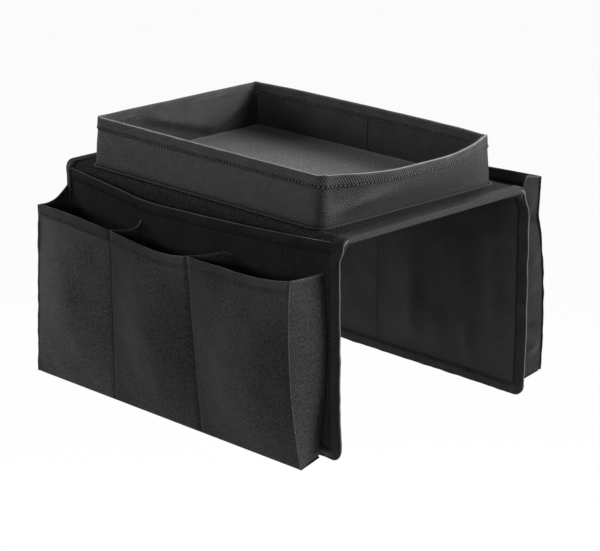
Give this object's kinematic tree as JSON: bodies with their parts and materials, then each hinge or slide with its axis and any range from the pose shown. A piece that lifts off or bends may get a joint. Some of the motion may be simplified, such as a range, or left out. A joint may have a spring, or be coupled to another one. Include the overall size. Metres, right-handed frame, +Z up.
{
  "type": "sofa tray organizer",
  "caption": "Cloth saddle for a sofa armrest with a walled tray on top and a hinged hanging flap of open pockets on each side.",
  "frame": {"origin": "middle of the flat underside that rests on the top of the armrest", "axes": "+X along the armrest, +Y towards the rear flap with two pockets, +Z up"},
  "size_m": [0.335, 0.2785, 0.2218],
  "materials": {
    "cloth": "black woven polyester, fine twill",
    "lining": "black plain-woven lining",
    "tape": "black ribbed binding tape",
    "foam": "grey sheet foam",
    "interlining": "pressed non-woven sheet",
    "board": "grey-brown fibre board"
  },
  "bodies": {
    "saddle": {"top_lining": "lining", "top_foam": "foam", "front_shoulder_roll": "foam", "rear_shoulder_roll": "foam", "top_cover": "cloth", "top_binding_left": "tape", "top_binding_right": "tape", "tray_base_board": "board", "tray_floor_lining": "lining", "tray_base_welt": "cloth", "tray_wall_cover": "cloth", "tray_board_front": "board", "tray_board_right": "board", "tray_board_rear": "board", "tray_board_left": "board", "tray_wall_lining": "lining", "tray_rim_binding": "tape"},
    "front_flap": {"front_flap_lining": "lining", "front_flap_stiffener": "interlining", "front_flap_cover": "cloth", "front_flap_binding": "tape", "magazine_pocket": "cloth", "magazine_binding": "tape", "front_face_left": "cloth", "front_face_middle": "cloth", "front_face_right": "cloth", "front_mouth_left": "tape", "front_mouth_middle": "tape", "front_mouth_right": "tape", "front_gusset_left": "cloth", "front_divider_left": "cloth", "front_divider_right": "cloth", "front_gusset_right": "cloth", "front_pocket_base": "cloth"},
    "rear_flap": {"rear_flap_lining": "lining", "rear_flap_stiffener": "interlining", "rear_flap_cover": "cloth", "rear_flap_binding": "tape", "rear_face_left": "cloth", "rear_face_right": "cloth", "rear_mouth_left": "tape", "rear_mouth_right": "tape", "rear_gusset_left": "cloth", "rear_divider": "cloth", "rear_gusset_right": "cloth", "rear_pocket_base": "cloth"}
  },
  "joints": [
    {"name": "front_flap_hinge", "type": "hinge", "parent": "saddle", "child": "front_flap", "pos_m": [0, -0.1058, -0.00215], "axis": [-1, 0, 0], "range_deg": [0, 90]},
    {"name": "rear_flap_hinge", "type": "hinge", "parent": "saddle", "child": "rear_flap", "pos_m": [0, 0.1058, -0.00215], "axis": [1, 0, 0], "range_deg": [0, 90]}
  ]
}
